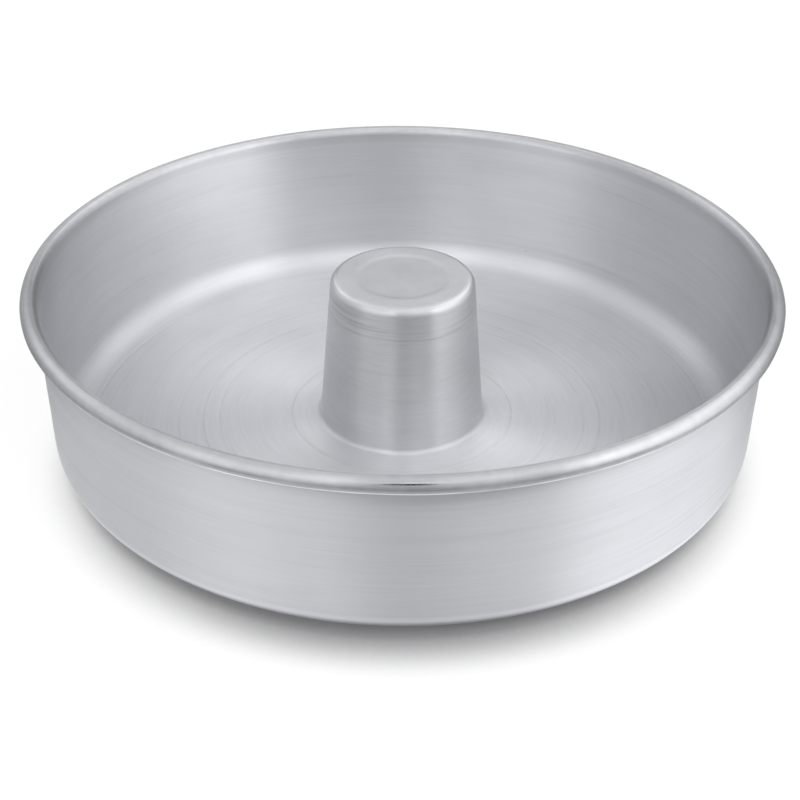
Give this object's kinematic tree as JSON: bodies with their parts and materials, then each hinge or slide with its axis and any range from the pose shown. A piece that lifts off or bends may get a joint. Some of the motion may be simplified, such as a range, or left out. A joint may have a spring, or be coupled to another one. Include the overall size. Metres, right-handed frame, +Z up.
{
  "type": "angel food cake pan",
  "caption": "Round spun-metal tube cake pan with a slightly tapered wall, a curved bottom corner, a rolled rim and a closed tapered centre tube.",
  "frame": {"origin": "centre of the pan's flat underside, on the surface that it stands on", "axes": "+Z up along the pan's axis; the pan is round, so the turn of X and Y about it is free"},
  "size_m": [0.266, 0.266, 0.063],
  "materials": {
    "spun_aluminium": "satin, with fine turning marks",
    "tube_aluminium": "satin, with coarser turning marks round the tube",
    "rim_steel": "plain drawn wire"
  },
  "bodies": {
    "root": {"pan_body": "spun_aluminium", "centre_tube": "tube_aluminium", "rim_wire": "rim_steel"}
  },
  "joints": []
}
